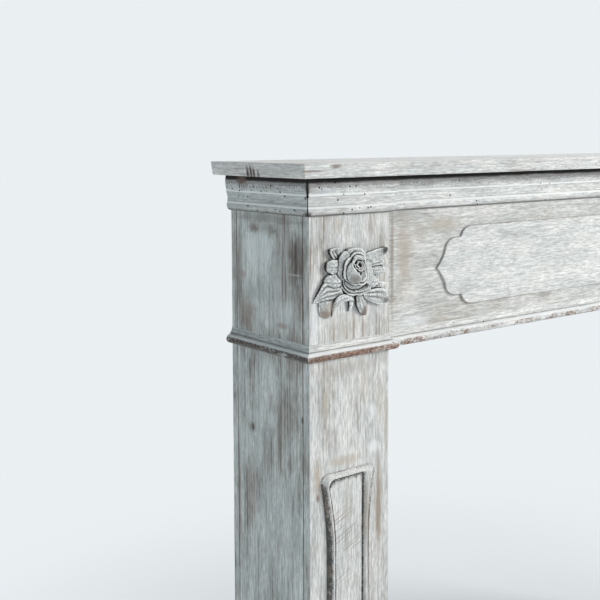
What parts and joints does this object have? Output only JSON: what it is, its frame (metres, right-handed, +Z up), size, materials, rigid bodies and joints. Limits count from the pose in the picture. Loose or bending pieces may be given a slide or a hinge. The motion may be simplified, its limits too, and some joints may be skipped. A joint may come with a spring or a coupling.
{
  "type": "fireplace mantelpiece",
  "caption": "Whitewashed pine fireplace mantelpiece: hollow box legs with raised panels and carved roses, a frieze with a shaped cartouche, mitred mouldings and a plank shelf.",
  "frame": {"origin": "on the floor, in the middle of the space that the mantelpiece takes up, under the middle of the shelf", "axes": "+X along the shelf, from the left leg to the right leg as seen from the room; +Y from the room to the wall; +Z up"},
  "size_m": [1.202, 0.224, 1.05],
  "materials": {
    "whitewashed_pine": "matt limewash over pine, rubbed back so that grey-brown grain shows",
    "worn_moulding": "matt limewash worn down to red-brown wood along the bead",
    "painted_ornament": "matt grey-white paint, thin on the high places and dark in the hollows"
  },
  "bodies": {
    "root": {"shelf_board": "whitewashed_pine", "cornice_left_side": "whitewashed_pine", "cornice_left_front": "whitewashed_pine", "cornice_left_return": "whitewashed_pine", "cornice_centre": "whitewashed_pine", "cornice_right_return": "whitewashed_pine", "cornice_right_front": "whitewashed_pine", "cornice_right_side": "whitewashed_pine", "astragal_left_side": "worn_moulding", "astragal_left_front": "worn_moulding", "astragal_left_return": "worn_moulding", "astragal_centre": "worn_moulding", "astragal_right_return": "worn_moulding", "astragal_right_front": "worn_moulding", "astragal_right_side": "worn_moulding", "frieze_board": "whitewashed_pine", "frieze_cartouche": "whitewashed_pine", "left_leg_front_board": "whitewashed_pine", "left_leg_back_board": "whitewashed_pine", "left_leg_outer_board": "whitewashed_pine", "left_leg_inner_board": "whitewashed_pine", "left_plinth_outer": "whitewashed_pine", "left_plinth_front": "whitewashed_pine", "left_plinth_inner": "whitewashed_pine", "left_leg_panel": "whitewashed_pine", "left_rose": "painted_ornament", "right_leg_front_board": "whitewashed_pine", "right_leg_back_board": "whitewashed_pine", "right_leg_outer_board": "whitewashed_pine", "right_leg_inner_board": "whitewashed_pine", "right_plinth_outer": "whitewashed_pine", "right_plinth_front": "whitewashed_pine", "right_plinth_inner": "whitewashed_pine", "right_leg_panel": "whitewashed_pine", "right_rose": "painted_ornament"}
  },
  "joints": []
}
